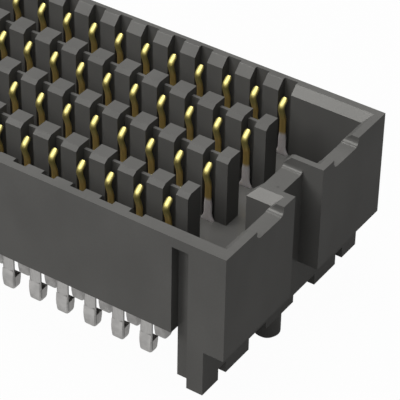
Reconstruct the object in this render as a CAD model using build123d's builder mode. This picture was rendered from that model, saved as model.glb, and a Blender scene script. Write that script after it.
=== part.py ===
from build123d import *
import os

os.makedirs("parts", exist_ok=True)

# High density open field socket for stacking two circuit boards. All sizes in millimetres.
# Frame: X runs along the contact columns, Y from the front wall to the back wall and Z away
# from the board. The origin is the middle of the footprint, on the board's surface.

# Contact field
contact_columns = 12
contact_pitch = 1.27
channel_count = 4
channel_pitch = 2.54
channel_width = 1.74

# Heights above the board
wall_top = 6.57
rib_drop = 0.16
channel_floor = 3.48
body_underside = 2.27
overhang_underside = 2.02
end_base_underside = 0.52

# Outer walls
wall_thickness = 0.64
front_lead_in = 0.12
pocket_lead_in = 0.33

# Distances along X, past the last contact column
rib_overrun = 0.80
side_wall_overrun = 1.76
side_recess_overrun = 2.45
key_block_overrun = 2.32
peg_overrun = 2.51
pad_overrun = 3.03
base_overrun = 3.14
end_overrun = 3.99

# Rib edges and contact slots
rib_bevel_depth = 0.20
rib_bevel_height = 0.14
slot_width = 0.57
shallow_slot_depth = 0.20
front_slot_depth = 0.32
stem_clearance = 0.02
web_thickness = 0.13
web_drop = 0.26

# Keyed end
groove_width = 1.88
groove_wall = 0.57
key_block_drop = 0.50
key_corner_radius = 0.20
end_notch_offset = 2.54
end_notch_width = 1.72
end_notch_depth = 0.38
end_notch_radius = 0.25
side_recess_depth = 0.43
side_recess_drop = 0.43

# Legs, feet, pads and locating pegs
leg_width = 1.02
foot_offset = 3.04
foot_width = 1.52
foot_length = 0.80
pad_width = 1.90
pad_length = 1.30
peg_radius = 0.52
peg_reach = 1.03
peg_bevel = 0.12

# Contact strip
strip_thickness = 0.16
beam_width = 0.27
flare_height = 0.25
tail_width = 0.48
tip_offset = 0.90
bulge_offset = 0.57
stem_offset = 0.77
tip_drop = 0.49
bulge_drop = 0.88
waist_drop = 1.50
jog_height = 0.40
tail_offset = 0.58
tail_row_shift = 0.11

# Solder charges, folded round the tails
charge_width = 0.52
charge_outer_wall = 0.06
charge_gap = 0.14
charge_inner_wall = 0.14
charge_floor = 0.22
charge_outer_height = 0.90
charge_inner_height = 0.56
charge_taper = 0.17
charge_reach = 0.18

# Sizes that follow from the ones above
last_column = (contact_columns - 1) * contact_pitch / 2
rib_thickness = channel_pitch - channel_width
deep_slot_depth = rib_thickness - shallow_slot_depth - web_thickness
half_channel = channel_width / 2
half_cavity = channel_count * channel_pitch / 2 - rib_thickness / 2
half_width = half_cavity + wall_thickness
rib_end = last_column + rib_overrun
side_wall_end = last_column + side_wall_overrun
side_recess_end = last_column + side_recess_overrun
key_block_start = last_column + key_block_overrun
peg_station = last_column + peg_overrun
pad_end = last_column + pad_overrun
base_end = last_column + base_overrun
end_face = last_column + end_overrun
end_inner = end_face - wall_thickness
rib_top = wall_top - rib_drop
half_groove = groove_width / 2
pocket_inner = half_groove + groove_wall
leg_inner = half_width - leg_width

column_stations = [index * contact_pitch - last_column for index in range(contact_columns)]
channel_centres = [(index - (channel_count - 1) / 2) * channel_pitch for index in range(channel_count)]
rib_centres = [centre + channel_pitch / 2 for centre in channel_centres[:-1]]


def corner_rectangle(x_start, x_end, y_start, y_end):
    """Add a rectangle between two corners to the sketch in progress."""
    with Locations(((x_start + x_end) / 2, (y_start + y_end) / 2)):
        Rectangle(abs(x_end - x_start), abs(y_end - y_start))


def four_way_rectangles(x_start, x_end, y_start, y_end):
    """Add a rectangle and its images in both middle planes of the part."""
    for x_side in (-1, 1):
        for y_side in (-1, 1):
            corner_rectangle(x_side * x_start, x_side * x_end, y_side * y_start, y_side * y_end)


def end_rectangles(x_start, x_end, half_span):
    """Add a rectangle across each end of the part."""
    for x_side in (-1, 1):
        corner_rectangle(x_side * x_start, x_side * x_end, -half_span, half_span)


def notch(centre, width, depth, radius):
    """Add an open notch in a wall's top, with rounded inside corners, to a YZ sketch."""
    with Locations((centre, wall_top)):
        RectangleRounded(width, 2 * depth, radius)


def slot_depth(channel, side):
    """Depth of a channel's slots: side 1 is its back face and side -1 its front face."""
    if side == 1:
        return deep_slot_depth
    if channel == channel_centres[0]:
        return front_slot_depth
    return shallow_slot_depth


with BuildPart() as housing:
    # Body block between the ends, and the end walls that overhang their base
    with BuildSketch(Plane.XY.offset(body_underside)):
        corner_rectangle(-base_end, base_end, -half_width, half_width)
    extrude(amount=wall_top - body_underside)
    with BuildSketch(Plane.XY.offset(overhang_underside)):
        four_way_rectangles(base_end, end_face, half_groove, half_width)
    extrude(amount=wall_top - overhang_underside)

    # Mating cavity: the open field up to the key blocks, and a pocket on each side of each key
    with BuildSketch(Plane.XY.offset(channel_floor)):
        corner_rectangle(-key_block_start, key_block_start, -half_cavity, half_cavity)
        four_way_rectangles(0, end_inner, pocket_inner, half_cavity)
    extrude(amount=wall_top - channel_floor, mode=Mode.SUBTRACT)

    # Lead-ins round the mouth of the cavity, smaller along the front wall
    rim = housing.faces().sort_by(Axis.Z)[-1]
    mouth_edges = rim.inner_wires()[0].edges().sort_by(Axis.Y)
    chamfer(mouth_edges[1:], length=pocket_lead_in)
    front_edges = housing.faces().sort_by(Axis.Z)[-1].inner_wires()[0].edges().sort_by(Axis.Y)
    chamfer(front_edges[:1], length=front_lead_in)

    # The bridge between the pockets is cut down, and each pocket's end wall is notched
    for x_side in (-1, 1):
        with BuildSketch(Plane.YZ.offset(x_side * key_block_start)):
            notch(0, groove_width, key_block_drop, key_corner_radius)
        extrude(amount=x_side * (end_face - key_block_start), mode=Mode.SUBTRACT)
        with BuildSketch(Plane.YZ.offset(x_side * end_inner)):
            for y_side in (-1, 1):
                notch(y_side * end_notch_offset, end_notch_width, end_notch_depth, end_notch_radius)
        extrude(amount=x_side * wall_thickness, mode=Mode.SUBTRACT)

    # Ribs between the channels, each with its front top edge bevelled
    for rib in rib_centres:
        rib_front = rib - rib_thickness / 2
        rib_back = rib + rib_thickness / 2
        with BuildSketch(Plane.YZ.offset(-rib_end)):
            with BuildLine():
                Polyline(
                    (rib_front, channel_floor),
                    (rib_front, rib_top - rib_bevel_height),
                    (rib_front + rib_bevel_depth, rib_top),
                    (rib_back, rib_top),
                    (rib_back, channel_floor),
                    close=True,
                )
            make_face()
        extrude(amount=2 * rib_end)

    # Contact slots, moulded right through the floor, deep on one side of each channel only
    with BuildSketch(Plane.XY.offset(body_underside)):
        for station in column_stations:
            for channel in channel_centres:
                for side in (-1, 1):
                    slot_front = channel + side * (stem_offset - stem_clearance)
                    slot_back = channel + side * (half_channel + slot_depth(channel, side))
                    corner_rectangle(station - slot_width / 2, station + slot_width / 2,
                                     slot_front, slot_back)
    extrude(amount=wall_top - body_underside, mode=Mode.SUBTRACT)

    # The thin web between two slots of a rib stands lower than the rib
    with BuildSketch(Plane.XY.offset(rib_top - web_drop)):
        for station in column_stations:
            for rib in rib_centres:
                corner_rectangle(station - slot_width / 2, station + slot_width / 2,
                                 rib - rib_thickness / 2, rib + rib_thickness / 2)
    extrude(amount=web_drop, mode=Mode.SUBTRACT)

    # End bases under the pockets, with legs at the corners, feet and a pad with a locating peg
    with BuildSketch(Plane.XY.offset(end_base_underside)):
        end_rectangles(side_wall_end, base_end, leg_inner)
    extrude(amount=body_underside - end_base_underside)
    with BuildSketch():
        four_way_rectangles(side_wall_end, base_end, leg_inner, half_width)
    extrude(amount=body_underside)
    with BuildSketch():
        four_way_rectangles(base_end - foot_length, base_end,
                            foot_offset - foot_width / 2, foot_offset + foot_width / 2)
        end_rectangles(pad_end - pad_length, pad_end, pad_width / 2)
    extrude(amount=end_base_underside)
    with BuildSketch(Plane.XY.offset(-peg_reach)):
        with Locations((-peg_station, 0), (peg_station, 0)):
            Circle(peg_radius)
    extrude(amount=peg_reach)
    peg_rims = housing.edges().group_by(Axis.Z)[0]
    chamfer(peg_rims, length=peg_bevel)

    # Upright recess in the side walls beside each corner, closed at the top by the rim
    with BuildSketch():
        four_way_rectangles(side_wall_end, side_recess_end, half_width - side_recess_depth, half_width)
    extrude(amount=wall_top - side_recess_drop, mode=Mode.SUBTRACT)

housing.part.label = "housing"
export_step(housing.part, "parts/housing.step")


def strip_line(channel, side):
    """Centre line of a contact strip in Y and Z, from its tip down into its solder charge."""
    half_strip = strip_thickness / 2
    tail = tail_offset + side * tail_row_shift
    stations = (
        (tip_offset + half_strip, wall_top - tip_drop),
        (bulge_offset + half_strip, wall_top - bulge_drop),
        (stem_offset + half_strip, wall_top - waist_drop),
        (stem_offset + half_strip, body_underside - half_strip),
        (tail, body_underside - jog_height),
        (tail, charge_floor - charge_reach),
    )
    return [(channel + side * offset, height) for offset, height in stations]


def strip_sketch(channel, side):
    """Add a contact strip, seen from the end, to a YZ sketch."""
    with BuildLine() as line:
        Polyline(*strip_line(channel, side))
    trace(line.edges(), line_width=strip_thickness)


def charge_sketch(channel, side):
    """Add a solder charge, folded round a tail with its taller wall outside, to a YZ sketch."""
    tail = tail_offset + side * tail_row_shift
    tail_outside = tail + strip_thickness / 2
    tail_inside = tail - strip_thickness / 2
    wall_inside = tail_inside - charge_gap
    base = -charge_reach
    outline = (
        (tail_outside + charge_outer_wall, base),
        (tail_outside + charge_outer_wall, base + charge_outer_height),
        (tail_outside, base + charge_outer_height),
        (tail_outside, base + charge_floor),
        (wall_inside, base + charge_floor),
        (wall_inside, base + charge_inner_height),
        (wall_inside - charge_inner_wall, base + charge_inner_height),
        (wall_inside - charge_inner_wall, base),
    )
    with BuildLine() as line:
        Polyline(*[(channel + side * offset, height) for offset, height in outline], close=True)
    make_face(line.edges())


def blank_outline():
    """Half outline of a flat contact blank in X and Z, from its tail up to its tip."""
    return (
        (tail_width / 2, -charge_reach),
        (tail_width / 2, body_underside),
        (slot_width / 2, body_underside),
        (slot_width / 2, channel_floor),
        (beam_width / 2, channel_floor + flare_height),
        (beam_width / 2, wall_top),
    )


# One column of contact strips: bent strips, cut to the outline of their blank
with BuildPart() as contact_column:
    with BuildSketch(Plane.YZ.offset(-slot_width / 2)):
        for channel in channel_centres:
            for side in (-1, 1):
                strip_sketch(channel, side)
    extrude(amount=slot_width)
    with BuildSketch(Plane.XZ.offset(-half_width)):
        with BuildLine():
            right_side = blank_outline()
            left_side = [(-half, height) for half, height in reversed(right_side)]
            Polyline(*right_side, *left_side, close=True)
        make_face()
    extrude(amount=2 * half_width, mode=Mode.INTERSECT)

# One column of solder charges, with their lower front and back edges tapered
with BuildPart() as charge_column:
    for channel in channel_centres:
        for side in (-1, 1):
            with BuildSketch(Plane.YZ.offset(-charge_width / 2)):
                charge_sketch(channel, side)
            extrude(amount=charge_width)
    lower_edges = charge_column.edges().group_by(Axis.Z)[0].filter_by(Axis.X)
    chamfer(lower_edges, length=charge_taper)

for number, station in enumerate(column_stations, start=1):
    with BuildPart() as contacts:
        with Locations((station, 0, 0)):
            add(contact_column.part)
    contacts.part.label = f"contacts_column_{number:02d}"
    export_step(contacts.part, f"parts/contacts_column_{number:02d}.step")

    with BuildPart() as charges:
        with Locations((station, 0, 0)):
            add(charge_column.part)
    charges.part.label = f"solder_charges_column_{number:02d}"
    export_step(charges.part, f"parts/solder_charges_column_{number:02d}.step")
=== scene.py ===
"""Looks of a tall board to board connector: moulded housing, formed contacts and solder charges.

Laid out as an add-on and run as a script. Lengths are in metres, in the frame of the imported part: X runs
along the contact columns, Y from the front wall to the back wall and Z away from the board.
"""

import math

import bmesh
import bpy
from bpy.props import FloatProperty, FloatVectorProperty, IntProperty, PointerProperty
from mathutils import Matrix, Vector


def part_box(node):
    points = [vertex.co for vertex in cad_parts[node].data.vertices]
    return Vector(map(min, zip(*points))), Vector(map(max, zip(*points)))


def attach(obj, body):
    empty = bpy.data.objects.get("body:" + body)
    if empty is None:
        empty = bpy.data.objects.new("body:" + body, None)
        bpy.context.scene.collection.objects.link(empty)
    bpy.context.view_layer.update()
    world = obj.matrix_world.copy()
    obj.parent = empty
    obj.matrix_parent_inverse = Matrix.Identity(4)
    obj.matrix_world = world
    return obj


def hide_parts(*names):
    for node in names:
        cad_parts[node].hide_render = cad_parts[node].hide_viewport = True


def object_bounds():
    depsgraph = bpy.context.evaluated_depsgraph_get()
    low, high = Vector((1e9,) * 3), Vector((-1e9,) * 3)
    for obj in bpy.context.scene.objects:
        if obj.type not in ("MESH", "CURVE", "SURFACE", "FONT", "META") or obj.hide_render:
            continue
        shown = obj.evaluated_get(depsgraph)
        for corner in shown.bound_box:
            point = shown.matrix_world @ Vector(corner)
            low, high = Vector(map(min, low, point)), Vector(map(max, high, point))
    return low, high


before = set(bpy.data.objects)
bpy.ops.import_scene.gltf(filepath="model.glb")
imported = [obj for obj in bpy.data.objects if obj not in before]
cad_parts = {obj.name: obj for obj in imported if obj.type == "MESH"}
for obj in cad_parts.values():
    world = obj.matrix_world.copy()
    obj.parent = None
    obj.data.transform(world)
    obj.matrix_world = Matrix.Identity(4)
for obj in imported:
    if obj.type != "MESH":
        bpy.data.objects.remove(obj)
cad_low, cad_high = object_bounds()

bl_info = {
    "name": "Board to Board Connector",
    "version": (1, 0, 0),
    "blender": (4, 5, 0),
    "location": "View3D > Sidebar > Connector",
    "description": "Dresses the packed connector with its moulded, plated and soldered surfaces",
    "category": "Object",
}

MM = 0.001
BODY = "root"
COLUMN_NODES = sorted(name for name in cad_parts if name.startswith("contacts_column"))
CHARGE_NODES = sorted(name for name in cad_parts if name.startswith("solder_charges"))

# In each channel a strip stands towards the front wall and one towards the back wall
SIDES = (-1, 1)

# Faces that make up each rounding
EDGE_SEGMENTS = 2
BEND_STEPS = 6
SECTION_SEGMENTS = 3
FOLD_SEGMENTS = 4
CORNER_SEGMENTS = 3

# Edges sharper than these angles stay sharp in the shading, and the housing's are rounded
HOUSING_ANGLE = math.radians(25.0)
STRIP_ANGLE = math.radians(50.0)
CHARGE_ANGLE = math.radians(40.0)

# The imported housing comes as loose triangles: points closer than this distance are merged, and
# neighbours that differ by less than this angle become one face
MERGE_DISTANCE = 0.002 * MM
FLAT_ANGLE = math.radians(0.5)

# Places that differ by less than this are level with each other
TINY = 0.0001 * MM


def length_property(name, description, millimetres):
    """A length that the panel shows as a distance, given here in millimetres."""
    return FloatProperty(
        name=name, description=description, default=millimetres * MM, unit="LENGTH", subtype="DISTANCE",
        precision=5,
    )


def place_property(name, description, millimetres):
    """A point, given here in millimetres."""
    return FloatVectorProperty(
        name=name, description=description, default=[part * MM for part in millimetres], size=3,
        unit="LENGTH", subtype="TRANSLATION",
    )


def colour_property(name, description, colour):
    """A linear colour swatch."""
    return FloatVectorProperty(
        name=name, description=description, default=colour, size=3, subtype="COLOR", min=0.0, max=1.0
    )


def angle_property(name, description, degrees):
    """An angle, given here in degrees."""
    return FloatProperty(
        name=name, description=description, default=math.radians(degrees), unit="ROTATION", subtype="ANGLE"
    )


def share_property(name, description, share):
    """A share between 0 and 1."""
    return FloatProperty(
        name=name, description=description, default=share, subtype="FACTOR", min=0.0, max=1.0
    )


def power_property(name, description, watts):
    """The power of a lamp."""
    return FloatProperty(
        name=name, description=description, default=watts, unit="POWER", min=0.0, precision=5
    )


class HousingSettings(bpy.types.PropertyGroup):
    """Finish of the black moulding."""

    plastic: colour_property("Plastic", "Colour of the moulded plastic", (0.100, 0.0985, 0.094))
    roughness: share_property("Roughness", "Roughness of the moulded faces", 0.19)
    sheen: share_property("Sheen", "Strength of the soft highlight on the moulded faces", 0.18)
    edge_radius: length_property("Edge radius", "Rounding of the moulding's sharp edges", 0.025)
    grain: length_property("Grain", "Size of the fine grain left by the mould", 0.06)
    clouds: length_property("Clouds", "Size of the faint flow clouds in the plastic", 2.2)
    # Mark and mark radius place a small spot on the key bridge where the plastic's colour is made darker
    mark: place_property("Mark", "Place of the small dull mark on the key bridge", (9.83, -0.24, 6.07))
    mark_radius: length_property("Mark radius", "Size of the small dull mark on the key bridge", 0.10)
    wall: length_property("Wall", "Thickness of the back wall", 0.64)
    lead_in: length_property("Lead-in", "Size of the slope along the back wall's mouth", 0.33)
    dull_reach: length_property("Dull reach", "How far from the middle that slope is duller", 7.0)
    dull_sheen: share_property("Dull sheen", "What is left of the highlight where that slope is duller", 0.01)


class ContactSettings(bpy.types.PropertyGroup):
    """Sizes and finish of the formed contact strips."""

    channel_pitch: length_property("Channel pitch", "Distance between two channels", 2.54)
    channel_count: IntProperty(name="Channels", description="Number of channels", default=4, min=1)
    thickness: length_property("Thickness", "Thickness of the strip", 0.16)
    edge_round: length_property("Edge round", "Rounding of the strip's cut edges", 0.07)
    tip_width: length_property("Tip width", "Width at the very tip", 0.17)
    beam_width: length_property("Beam width", "Width of the spring beam", 0.27)
    neck_width: length_property("Neck width", "Width of the bare stem above the flare", 0.34)
    stem_width: length_property("Stem width", "Width where the stem fills its slot", 0.57)
    tail_width: length_property("Tail width", "Width of the tail below the body", 0.55)
    tip_offset: length_property("Tip offset", "Tip, out from the middle of its channel", 0.96)
    bulge_offset: length_property("Bulge offset", "Contact bulge, out from the middle of its channel", 0.63)
    stem_offset: length_property("Stem offset", "Stem, out from the middle of its channel", 0.85)
    tail_offset: length_property("Tail offset", "Tail, out from the middle of its channel", 0.61)
    tail_shift: length_property("Tail shift", "How far both tails of a channel stand to the back", 0.11)
    tip_height: length_property("Tip height", "Height of the tip above the board", 5.965)
    bulge_height: length_property("Bulge height", "Height of the contact bulge", 5.69)
    waist_height: length_property("Waist height", "Height where the beam turns upright", 5.07)
    neck_height: length_property("Neck height", "Height where the beam begins to widen to its neck", 4.45)
    neck_step: length_property("Neck step", "Height over which the beam widens to its neck", 0.25)
    flare_height: length_property("Flare height", "Height where the neck begins to flare", 3.76)
    floor_height: length_property("Floor height", "Height of the channel floor", 3.48)
    underside_height: length_property("Underside height", "Height of the body's underside", 2.27)
    tail_step: length_property("Tail step", "Height over which the stem narrows to the tail", 0.08)
    jog_height: length_property("Jog height", "Height where the jog to the tail ends", 1.87)
    bulge_bend: length_property("Bulge bend", "Bend radius at the contact bulge", 0.26)
    waist_bend: length_property("Waist bend", "Bend radius where the beam turns upright", 0.8)
    tail_bend: length_property("Tail bend", "Bend radius at both ends of the jog", 0.12)
    tip_taper: share_property("Tip taper", "Share of the way from tip to bulge that the tip tapers", 0.2)
    flare_curve: share_property("Flare curve", "Share of the flare's widening at half its height", 0.3)
    plating_height: length_property("Plating height", "Height of the lower edge of the gold", 4.49)
    gold: colour_property("Gold", "Colour of the gold plating at the tip", (0.62, 0.54, 0.195))
    # Low on the beam the gold is painted warmer and brighter: a painted reflection that stands in for light
    # thrown between the gold strips
    painted_reflection_gold: colour_property("Deep gold", "Colour of the gold plating low on the beam", (0.84, 0.61, 0.21))
    nickel: colour_property("Nickel", "Colour of the bare lower stem", (1.0, 0.93, 0.93))
    tin: colour_property("Tin", "Colour of the tinned tail", (0.60, 0.59, 0.575))


class ChargeSettings(bpy.types.PropertyGroup):
    """Sizes and finish of the solder charges."""

    width: length_property("Width", "Width of a charge along the column", 0.50)
    outer_wall: length_property("Outer wall", "Thickness of the plate outside the tail", 0.03)
    plate_taper: length_property("Plate taper", "Height over which the plate thins to its top", 0.30)
    gap: length_property("Gap", "Gap between the tail and the inner wall", 0.14)
    inner_wall: length_property("Inner wall", "Thickness of the inner wall", 0.17)
    fold: length_property("Fold", "Height of the solder that is filled up round the tail's end", 0.54)
    outer_height: length_property("Outer height", "Height of the plate outside the tail", 0.90)
    inner_height: length_property("Inner height", "Height of the inner wall", 0.56)
    reach: length_property("Reach", "How far the fold reaches below the feet", 0.18)
    fold_round: length_property("Fold round", "Rounding of the fold seen from the end", 0.15)
    corner_round: length_property("Corner round", "Rounding of the lower corners seen from the front", 0.18)
    solder: colour_property("Solder", "Colour of the solder", (0.62, 0.61, 0.595))


class StageSettings(bpy.types.PropertyGroup):
    """Camera, lamps, sky and floor."""

    lens: FloatProperty(
        name="Lens", description="Focal length of the camera", default=194.17, unit="CAMERA", min=1.0
    )
    camera_place: place_property("Camera", "Place of the camera", (41.330, -53.049, 52.182))
    azimuth: angle_property("Azimuth", "Turn of the camera round the part", 33.314)
    elevation: angle_property("Elevation", "Height of the camera above the horizon", 37.164)
    roll: angle_property("Roll", "Turn of the camera about its own axis", 1.2413)
    shift: FloatVectorProperty(
        name="Shift", description="Shift of the camera's image", size=2, default=(-0.0065, -0.01127)
    )
    key_place: place_property("Key place", "Key lamp, from the part's middle", (-132.0, -190.0, 190.0))
    key_power: power_property("Key power", "Power of the lamp on the front left", 0.515)
    top_place: place_property("Top place", "Top lamp, from the part's middle", (-20.0, -10.0, 300.0))
    top_power: power_property("Top power", "Power of the overhead lamp", 0.93)
    front_place: place_property("Front place", "Front lamp, from the part's middle", (50.0, -240.0, 170.0))
    front_power: power_property("Front power", "Power of the lamp in front", 0.135)
    back_place: place_property("Back place", "Back lamp, from the part's middle", (-30.0, 280.0, 100.0))
    back_power: power_property("Back power", "Power of the lamp behind the part", 0.12)
    lamp_size: length_property("Lamp size", "Side of the key, top and front lamps", 150.0)
    back_size: length_property("Back size", "Side of the back lamp", 200.0)
    sky: colour_property("Sky", "Light from all round", (0.24, 0.24, 0.24))
    floor_size: length_property("Floor size", "Half the side of the floor", 1000.0)
    floor_white: share_property("Floor white", "How far the camera sees the floor as plain white", 0.975)
    floor_gloss: share_property("Floor gloss", "Share of that white that shiny faces mirror", 0.35)


class ConnectorSettings(bpy.types.PropertyGroup):
    """Everything that a user would change."""

    housing: PointerProperty(type=HousingSettings)
    contact: PointerProperty(type=ContactSettings)
    charge: PointerProperty(type=ChargeSettings)
    stage: PointerProperty(type=StageSettings)


class Shader:
    """A material's node tree, with one way to add a node."""

    def __init__(self, name):
        self.material = bpy.data.materials.new(name)
        self.material.use_nodes = True
        self.tree = self.material.node_tree
        self.tree.nodes.clear()

    def node(self, kind, settings=None, *values, **inputs):
        """Add a node with its settings, then feed its first inputs in order and the others by name."""
        made = self.tree.nodes.new(kind)
        for key, value in (settings or {}).items():
            setattr(made, key, value)
        for socket, value in zip(made.inputs, values):
            self.feed(socket, value)
        for key, value in inputs.items():
            self.feed(made.inputs[key.replace("_", " ")], value)
        return made

    def feed(self, socket, value):
        """Link a socket to a field or another socket, or set its value."""
        if isinstance(value, Field):
            value = value.socket
        if isinstance(value, bpy.types.NodeSocket):
            self.tree.links.new(value, socket)
        else:
            socket.default_value = value

    def field(self, kind, settings=None, output=0, *values, **inputs):
        """Add a node and give one of its outputs as a field."""
        return Field(self, self.node(kind, settings, *values, **inputs).outputs[output])

    def mix(self, factor, first, second):
        """Blend two colours."""
        made = self.node("ShaderNodeMix", {"data_type": "RGBA"})
        sockets = {socket.identifier: socket for socket in made.inputs}
        self.feed(sockets["Factor_Float"], factor)
        self.feed(sockets["A_Color"], first)
        self.feed(sockets["B_Color"], second)
        return Field(self, next(s for s in made.outputs if s.identifier == "Result_Color"))

    def uneven(self, noise, colour, darkest, lightest):
        """A colour that drifts with a noise field, between two shades of itself."""
        return self.mix(noise.ramp(0.3, 0.7), shade(colour, darkest), shade(colour, lightest))

    def place(self):
        """Object coordinates of the surface."""
        return self.field("ShaderNodeTexCoord", output="Object")

    def distance(self, place, point):
        """Distance of the surface from a point."""
        return self.field("ShaderNodeVectorMath", {"operation": "DISTANCE"}, "Value", place, point)

    def noise(self, place, size, detail=2.0, stretch=(1.0, 1.0, 1.0)):
        """Noise whose features are about one size, in metres."""
        scale = [part / size for part in stretch]
        scaled = self.field("ShaderNodeVectorMath", {"operation": "MULTIPLY"}, 0, place, scale)
        return self.field("ShaderNodeTexNoise", Vector=scaled, Scale=1.0, Detail=detail, Roughness=0.55)

    def bump(self, height, distance, strength):
        """Normal of a surface raised by a height field."""
        return self.field("ShaderNodeBump", Height=height, Distance=distance, Strength=strength)

    def surface(self, **inputs):
        """Make a principled surface the material's output."""
        self.output(self.node("ShaderNodeBsdfPrincipled", **inputs))
        return self.material

    def output(self, shading):
        """Link a shading node to the material's output."""
        self.node("ShaderNodeOutputMaterial", Surface=shading.outputs[0])


class Field:
    """A socket that takes part in arithmetic."""

    def __init__(self, shader, socket):
        self.shader = shader
        self.socket = socket

    def _math(self, operation, *values):
        """The result of one Math node."""
        return self.shader.field("ShaderNodeMath", {"operation": operation}, 0, *values)

    def __add__(self, other):
        return self._math("ADD", self, other)

    __radd__ = __add__

    def __mul__(self, other):
        return self._math("MULTIPLY", self, other)

    __rmul__ = __mul__

    def __sub__(self, other):
        return self._math("SUBTRACT", self, other)

    def __rsub__(self, other):
        return self._math("SUBTRACT", other, self)

    def clamp(self):
        """The field held between 0 and 1."""
        return self._math("MINIMUM", self._math("MAXIMUM", self, 0.0), 1.0)

    def ramp(self, low, high):
        """0 below low, 1 above high, and smooth between them."""
        smooth = {"interpolation_type": "SMOOTHSTEP"}
        return self.shader.field("ShaderNodeMapRange", smooth, 0, self, low, high)

    def axis(self, letter):
        """One component of a vector field."""
        return self.shader.field("ShaderNodeSeparateXYZ", output=letter, Vector=self)


def shade(colour, factor=1.0):
    """A colour made lighter or darker, with its alpha."""
    return (*[min(1.0, channel * factor) for channel in colour], 1.0)


def plastic_material(settings):
    """Black moulded plastic: fine grain, faint flow clouds, one small dark spot and a duller lead-in."""
    shader = Shader("black_plastic")
    place = shader.place()
    grain = shader.noise(place, settings.grain, 3.0)
    clouds = shader.noise(place, settings.clouds, 2.0, (1.0, 1.0, 0.6))
    colour = shader.uneven(clouds * 0.7 + grain * 0.3, settings.plastic, 0.93, 1.07)
    # The base colour is darker in a small spot on the key bridge
    marked = 1.0 - shader.distance(place, settings.mark).ramp(0.0, settings.mark_radius)
    sheen_lost = settings.sheen - settings.dull_sheen
    return shader.surface(
        Base_Color=shader.mix(marked * 0.5, colour, shade(settings.plastic, 0.4)),
        Roughness=settings.roughness - 0.05 + clouds * 0.06 + grain * 0.04,
        Metallic=settings.sheen - dull_lead_in(place, settings) * sheen_lost,
        Specular_IOR_Level=0.0,
        Normal=shader.bump(grain, 0.0012 * MM, 0.5),
    )


def dull_lead_in(place, settings):
    """1 on the slope along the back wall's mouth, where the slots cut it, and 0 elsewhere."""
    blend = 0.02 * MM
    inner_face = cad_high.y - settings.wall
    outer_edge = inner_face + settings.lead_in
    foot = cad_high.z - settings.lead_in
    along, across, height = place.axis("X"), place.axis("Y"), place.axis("Z")
    beyond_wall = across.ramp(inner_face - 2 * blend, inner_face - blend)
    before_rim = 1.0 - across.ramp(outer_edge - blend, outer_edge)
    above_foot = height.ramp(foot - blend, foot)
    between_ends = 1.0 - (along * along).ramp((settings.dull_reach - blend) ** 2, settings.dull_reach ** 2)
    return beyond_wall * before_rim * above_foot * between_ends


def plated_material(settings):
    """Strip plated with gold at the mating end, bare grey metal in the body and tin on the tail."""
    shader = Shader("plated_strip")
    place = shader.place()
    blend = 0.10 * MM
    streaks = shader.noise(place, 0.05 * MM, 2.0, (3.0, 3.0, 0.25))
    clouds = shader.noise(place, 0.4 * MM)
    height = place.axis("Z") + clouds * 0.08 * MM
    gold_part = height.ramp(settings.plating_height - blend, settings.plating_height + blend)
    stem_part = height.ramp(settings.underside_height, settings.underside_height + blend)
    # Below the bulge the gold fades to that warmer tone of painted reflection
    near_tip = (height + clouds * 0.1 * MM).ramp(settings.waist_height, settings.bulge_height)
    gold = shader.mix(near_tip, shade(settings.painted_reflection_gold), shade(settings.gold))
    nickel = shader.uneven(streaks, settings.nickel, 0.93, 1.05)
    # Tin that faces along ±X, the tail's cut edges, is darkened: partly as bare cut edges, partly as painted
    # shade on the sides that the lamps light less
    facing = shader.field("ShaderNodeTexCoord", output="Normal").axis("X")
    shaded_cut_edge = (facing * facing).ramp(0.3, 0.8)
    tin = shader.mix(shaded_cut_edge, shader.uneven(streaks, settings.tin, 0.93, 1.05), shade(settings.tin, 0.45))
    return shader.surface(
        Base_Color=shader.mix(gold_part, shader.mix(stem_part, tin, nickel), gold),
        Metallic=1.0,
        Roughness=0.42 + clouds * 0.05 + stem_part * 0.22 - gold_part * 0.18,
        Normal=shader.bump(streaks, 0.0015 * MM, 0.4),
    )


def solder_material(settings):
    """Soft grey solder, dulled in patches."""
    shader = Shader("soft_solder")
    place = shader.place()
    dimples = shader.noise(place, 0.09 * MM, 3.0)
    clouds = shader.noise(place, 0.35 * MM)
    return shader.surface(
        Base_Color=shader.uneven(clouds, settings.solder, 0.9, 1.08),
        Metallic=1.0,
        Roughness=0.42 + clouds * 0.12,
        Normal=shader.bump(dimples, 0.004 * MM, 0.5),
    )


def floor_material(settings):
    """Pale matt floor that the camera sees as nearly plain white, with a trace of the part's shadow.

    Shiny faces mirror a share of that white. The part is otherwise lit by the matt floor.
    """
    shader = Shader("white_floor")
    path = shader.node("ShaderNodeLightPath")
    camera, through, mirrored = [
        Field(shader, path.outputs[f"Is {kind} Ray"]) for kind in ("Camera", "Transmission", "Glossy")
    ]
    seen = (camera + through + mirrored * settings.floor_gloss).clamp()
    clouds = shader.noise(shader.place(), 8.0 * MM)
    paper = shader.mix(clouds, (0.27, 0.27, 0.27, 1.0), (0.29, 0.29, 0.29, 1.0))
    matt = shader.node("ShaderNodeBsdfDiffuse", Color=paper)
    glow = shader.node("ShaderNodeEmission", Color=(1.0, 1.0, 1.0, 1.0), Strength=1.0)
    white = seen * settings.floor_white
    shader.output(shader.node("ShaderNodeMixShader", None, white, matt.outputs[0], glow.outputs[0]))
    return shader.material


def add_piece(name, mesh_data, material, replaced):
    """Link a finished mesh as a piece of the part and hide the node that it stands for."""
    mesh_data.materials.append(material)
    piece = bpy.data.objects.new(name, mesh_data)
    bpy.context.scene.collection.objects.link(piece)
    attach(piece, BODY)
    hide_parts(replaced)
    return piece


def finish_mesh(shape, name, smooth_angle):
    """Turn a bmesh into mesh data, smooth except across edges sharper than an angle."""
    for face in shape.faces:
        face.smooth = True
    for edge in shape.edges:
        if edge.is_manifold and edge.calc_face_angle(0.0) > smooth_angle:
            edge.smooth = False
    mesh_data = bpy.data.meshes.new(name)
    shape.to_mesh(mesh_data)
    shape.free()
    return mesh_data


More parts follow.
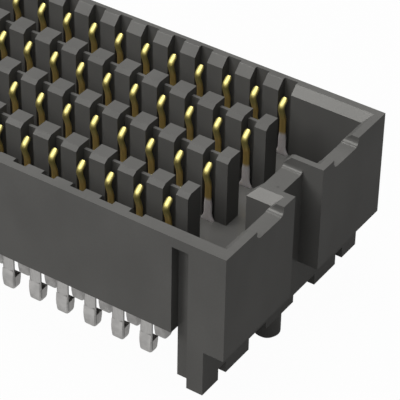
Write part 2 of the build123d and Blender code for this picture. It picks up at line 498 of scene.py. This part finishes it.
def round_off(shape, geom, affect, radius, segments):
    """Round the given corners or edges of a bmesh."""
    return bmesh.ops.bevel(
        shape, geom=geom, affect=affect, offset=radius, segments=segments, profile=0.5, material=-1,
        clamp_overlap=True,
    )


def channel_middles(settings):
    """Places of the channels' middles along Y."""
    last = (settings.channel_count - 1) / 2
    return [(channel - last) * settings.channel_pitch for channel in range(settings.channel_count)]


def add_columns(pattern, nodes, rename, smooth_angle, material, slot):
    """Stand a copy of one column's bmesh, made at X = 0, in the middle of each node."""
    if not nodes:
        raise ValueError("the frame has no node for " + slot)
    bmesh.ops.recalc_face_normals(pattern, faces=pattern.faces)
    for node in nodes:
        name = node.replace(*rename)
        low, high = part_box(node)
        shape = pattern.copy()
        bmesh.ops.translate(shape, vec=((low.x + high.x) / 2, 0.0, 0.0), verts=shape.verts)
        add_piece(name, finish_mesh(shape, name, smooth_angle), material, node)
    pattern.free()


def strip_corners(settings, side):
    """Corners of a strip's middle line from its tip to its tail's end: place in Y and Z, width and bend."""
    tail = settings.tail_offset + side * settings.tail_shift
    stem = settings.stem_offset
    neck_foot = settings.neck_height - settings.neck_step
    flare_middle = (settings.flare_height + settings.floor_height) / 2
    flare_width = settings.neck_width + (settings.stem_width - settings.neck_width) * settings.flare_curve
    taper_offset = settings.tip_offset + (settings.bulge_offset - settings.tip_offset) * settings.tip_taper
    taper_height = settings.tip_height + (settings.bulge_height - settings.tip_height) * settings.tip_taper
    rows = (
        (settings.tip_offset, settings.tip_height, settings.tip_width, 0.0),
        (taper_offset, taper_height, settings.beam_width, 0.0),
        (settings.bulge_offset, settings.bulge_height, settings.beam_width, settings.bulge_bend),
        (stem, settings.waist_height, settings.beam_width, settings.waist_bend),
        (stem, settings.neck_height, settings.beam_width, 0.0),
        (stem, neck_foot, settings.neck_width, 0.0),
        (stem, settings.flare_height, settings.neck_width, 0.0),
        (stem, flare_middle, flare_width, 0.0),
        (stem, settings.floor_height, settings.stem_width, 0.0),
        (stem, settings.underside_height, settings.stem_width, 0.0),
        (stem, settings.underside_height - settings.tail_step, settings.tail_width, settings.tail_bend),
        (tail, settings.jog_height, settings.tail_width, settings.tail_bend),
        (tail, 0.0, settings.tail_width, 0.0),
    )
    return [(Vector((side * offset, height)), width, bend) for offset, height, width, bend in rows]


def rounded_line(corners):
    """Stations along a line of corners, with an arc at each corner that has a bend radius.

    Each station has its place, the line's direction there and the strip's width.
    """
    places = [place for place, _, _ in corners]
    headings = [(after - here).normalized() for here, after in zip(places, places[1:])]
    headings.append(headings[-1])
    stations = []
    for number, (here, width, bend) in enumerate(corners):
        outgoing = headings[number]
        if bend == 0.0:
            stations.append((here, outgoing, width))
            continue
        incoming = headings[number - 1]
        turn = incoming.angle_signed(outgoing, 0.0)
        start = here - incoming * bend * math.tan(abs(turn) / 2)
        side = Vector((-incoming.y, incoming.x)) * (-1.0 if turn > 0 else 1.0)
        centre = start + side * bend
        for step in range(BEND_STEPS + 1):
            swing = Matrix.Rotation(-turn * step / BEND_STEPS, 2)
            stations.append((centre + swing @ (start - centre), swing @ incoming, width))
    return stations


def add_strip(shape, settings, middle, side):
    """Draw a contact strip's rounded section along its bent line, in the channel at Y = middle."""
    stations = rounded_line(strip_corners(settings, side))
    width = stations[0][2]
    # The section is made from a unit square that lies level at the height of the board
    level = (Vector((0.0, 0.0)), Vector((0.0, 1.0)), width)
    size = Matrix.Diagonal((width, settings.thickness, 1.0, 1.0))
    section = bmesh.ops.create_grid(
        shape, x_segments=1, y_segments=1, size=0.5, matrix=Matrix.Translation((0.0, middle, 0.0)) @ size
    )
    rounded = round_off(shape, section["verts"], "VERTICES", settings.edge_round, SECTION_SEGMENTS)
    face = rounded["verts"][0].link_faces[0]
    carry_section(shape, face.verts, middle, level, stations[0])
    for number in range(1, len(stations)):
        last = face
        grown = bmesh.ops.extrude_face_region(shape, geom=[last])
        face = next(item for item in grown["geom"] if isinstance(item, bmesh.types.BMFace))
        if number > 1:
            # Of the sections that were extruded from, only the first stays: it closes the tip
            bmesh.ops.delete(shape, geom=[last], context="FACES_ONLY")
        carry_section(shape, face.verts, middle, stations[number - 1], stations[number])


def carry_section(shape, verts, middle, previous, station):
    """Carry a strip's section from one station of its line to the next."""
    (start, heading, width), (end, direction, next_width) = previous, station
    pivot = Vector((0.0, middle + start.x, start.y))
    target = Vector((0.0, middle + end.x, end.y))
    turn = heading.angle_signed(direction, 0.0)
    widen = (next_width / width, 1.0, 1.0)
    bmesh.ops.scale(shape, vec=widen, verts=verts, space=Matrix.Translation(-pivot))
    bmesh.ops.rotate(shape, cent=pivot, matrix=Matrix.Rotation(-turn, 3, "X"), verts=verts)
    bmesh.ops.translate(shape, vec=target - pivot, verts=verts)


def charge_outline(settings, contact, side):
    """Corners of a solder charge in Y and Z, from the foot of its outer plate round to its inner wall."""
    tail = contact.tail_offset + side * contact.tail_shift
    outside = tail + contact.thickness / 2
    inside = tail - contact.thickness / 2 - settings.gap
    base = -settings.reach
    return (
        (outside + settings.outer_wall, base),
        (outside + settings.outer_wall, base + settings.outer_height - settings.plate_taper),
        (outside, base + settings.outer_height),
        (outside, base + settings.fold),
        (inside, base + settings.fold),
        (inside, base + settings.inner_height),
        (inside - settings.inner_wall, base + settings.inner_height),
        (inside - settings.inner_wall, base),
    )


def add_charge(shape, settings, contact, middle, side):
    """Extrude a solder charge from its outline, in the channel at Y = middle."""
    left = -settings.width / 2
    outline = charge_outline(settings, contact, side)
    verts = [shape.verts.new((left, middle + side * offset, height)) for offset, height in outline]
    grown = bmesh.ops.extrude_face_region(shape, geom=[shape.faces.new(verts)])
    moved = [item for item in grown["geom"] if isinstance(item, bmesh.types.BMVert)]
    bmesh.ops.translate(shape, vec=(settings.width, 0.0, 0.0), verts=moved)


def round_charges(shape, settings):
    """Round the charges' long lower edges, and then the lower corners of their end faces."""
    base = -settings.reach
    long_edges = [
        edge for edge in shape.edges
        if runs_along_x(edge) and all(vert.co.z < base + TINY for vert in edge.verts)
    ]
    round_off(shape, long_edges, "EDGES", settings.fold_round, FOLD_SEGMENTS)
    low_ends = [
        edge for edge in shape.edges
        if not runs_along_x(edge) and all(vert.co.z < base + settings.corner_round for vert in edge.verts)
    ]
    round_off(shape, low_ends, "EDGES", settings.corner_round, CORNER_SEGMENTS)


def runs_along_x(edge):
    """Whether an edge runs from one end of a charge to the other."""
    return abs(edge.verts[0].co.x - edge.verts[1].co.x) > TINY


def area_lamp(name, place, size, power, aim):
    """Add a square soft lamp that faces a point."""
    data = bpy.data.lights.new(name, "AREA")
    data.energy = power
    data.size = size
    lamp = bpy.data.objects.new(name, data)
    lamp.location = place
    lamp.rotation_euler = (aim - place).to_track_quat("-Z", "Y").to_euler()
    bpy.context.scene.collection.objects.link(lamp)


class CONNECTOR_OT_housing(bpy.types.Operator):
    """Round the housing's edges and give it its moulded plastic"""

    bl_idname = "connector.housing"
    bl_label = "Housing"

    def execute(self, context):
        settings = context.scene.connector.housing
        shape = bmesh.new()
        shape.from_mesh(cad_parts["housing"].data)
        bmesh.ops.remove_doubles(shape, verts=shape.verts, dist=MERGE_DISTANCE)
        bmesh.ops.dissolve_limit(shape, angle_limit=FLAT_ANGLE, verts=shape.verts, edges=shape.edges)
        bmesh.ops.recalc_face_normals(shape, faces=shape.faces)
        mesh_data = finish_mesh(shape, "moulded_housing", HOUSING_ANGLE)
        material = plastic_material(settings)
        piece = add_piece("moulded_housing", mesh_data, material, "housing")
        bevel = piece.modifiers.new("Edges", "BEVEL")
        bevel.width = settings.edge_radius
        bevel.segments = EDGE_SEGMENTS
        bevel.limit_method = "ANGLE"
        bevel.angle_limit = HOUSING_ANGLE
        bevel.harden_normals = True
        return {"FINISHED"}


class CONNECTOR_OT_contacts(bpy.types.Operator):
    """Form the contact strips of each column"""

    bl_idname = "connector.contacts"
    bl_label = "Contacts"

    def execute(self, context):
        settings = context.scene.connector.contact
        pattern = bmesh.new()
        for middle in channel_middles(settings):
            for side in SIDES:
                add_strip(pattern, settings, middle, side)
        rename = ("contacts", "formed_contacts")
        add_columns(pattern, COLUMN_NODES, rename, STRIP_ANGLE, plated_material(settings), "contact_metal")
        return {"FINISHED"}


class CONNECTOR_OT_charges(bpy.types.Operator):
    """Fold the solder charges round the tails"""

    bl_idname = "connector.charges"
    bl_label = "Solder charges"

    def execute(self, context):
        settings = context.scene.connector.charge
        contact = context.scene.connector.contact
        pattern = bmesh.new()
        for middle in channel_middles(contact):
            for side in SIDES:
                add_charge(pattern, settings, contact, middle, side)
        round_charges(pattern, settings)
        rename = ("solder", "folded_solder")
        add_columns(pattern, CHARGE_NODES, rename, CHARGE_ANGLE, solder_material(settings), "solder")
        return {"FINISHED"}


class CONNECTOR_OT_stage(bpy.types.Operator):
    """Set up the camera, lamps, sky and floor"""

    bl_idname = "connector.stage"
    bl_label = "Stage"

    def execute(self, context):
        settings = context.scene.connector.stage
        self.add_camera(context.scene, settings)
        self.add_lamps(settings)
        self.add_sky(context.scene, settings)
        self.add_floor(settings)
        context.scene.view_settings.view_transform = "Standard"
        return {"FINISHED"}

    def add_camera(self, scene, settings):
        """Stand the camera where the photograph was taken from."""
        data = bpy.data.cameras.new("camera")
        data.lens = settings.lens
        data.shift_x, data.shift_y = settings.shift
        data.clip_start = 1.0 * MM
        data.clip_end = 10.0
        camera = bpy.data.objects.new("camera", data)
        turn = Matrix.Rotation(settings.azimuth, 4, "Z")
        tilt = Matrix.Rotation(math.pi / 2 - settings.elevation, 4, "X")
        roll = Matrix.Rotation(settings.roll, 4, "Z")
        camera.matrix_world = Matrix.Translation(settings.camera_place) @ turn @ tilt @ roll
        scene.collection.objects.link(camera)
        scene.camera = camera

    def add_lamps(self, settings):
        """Hang four soft lamps round the part, all aimed at its middle."""
        aim = (cad_low + cad_high) / 2
        for name, place, size, power in (
            ("key_lamp", settings.key_place, settings.lamp_size, settings.key_power),
            ("top_lamp", settings.top_place, settings.lamp_size, settings.top_power),
            ("front_lamp", settings.front_place, settings.lamp_size, settings.front_power),
            ("back_lamp", settings.back_place, settings.back_size, settings.back_power),
        ):
            area_lamp(name, aim + Vector(place), size, power, aim)

    def add_sky(self, scene, settings):
        """Light the scene evenly from all round."""
        world = bpy.data.worlds.new("studio")
        world.use_nodes = True
        background = world.node_tree.nodes["Background"]
        background.inputs["Color"].default_value = shade(settings.sky)
        background.inputs["Strength"].default_value = 1.0
        scene.world = world

    def add_floor(self, settings):
        """Lay a wide floor under the locating pegs."""
        shape = bmesh.new()
        bmesh.ops.create_grid(shape, x_segments=1, y_segments=1, size=settings.floor_size)
        bmesh.ops.translate(shape, vec=(0.0, 0.0, cad_low.z), verts=shape.verts)
        mesh_data = bpy.data.meshes.new("floor")
        shape.to_mesh(mesh_data)
        shape.free()
        mesh_data.materials.append(floor_material(settings))
        floor = bpy.data.objects.new("floor", mesh_data)
        bpy.context.scene.collection.objects.link(floor)


class CONNECTOR_PT_panel(bpy.types.Panel):
    """Panel that lists the steps"""

    bl_label = "Connector"
    bl_space_type = "VIEW_3D"
    bl_region_type = "UI"
    bl_category = "Connector"

    def draw(self, context):
        for step in STEPS:
            self.layout.operator(step.bl_idname)


STEPS = (CONNECTOR_OT_housing, CONNECTOR_OT_contacts, CONNECTOR_OT_charges, CONNECTOR_OT_stage)
CLASSES = (
    HousingSettings, ContactSettings, ChargeSettings, StageSettings, ConnectorSettings, *STEPS,
    CONNECTOR_PT_panel,
)


def register():
    """Register the classes and hang the settings on the scene."""
    for item in CLASSES:
        bpy.utils.register_class(item)
    bpy.types.Scene.connector = PointerProperty(type=ConnectorSettings)


def unregister():
    """Undo register."""
    del bpy.types.Scene.connector
    for item in reversed(CLASSES):
        bpy.utils.unregister_class(item)


def main():
    """Run every step in order."""
    register()
    bpy.ops.connector.housing()
    bpy.ops.connector.contacts()
    bpy.ops.connector.charges()
    bpy.ops.connector.stage()


if __name__ == "__main__":
    main()
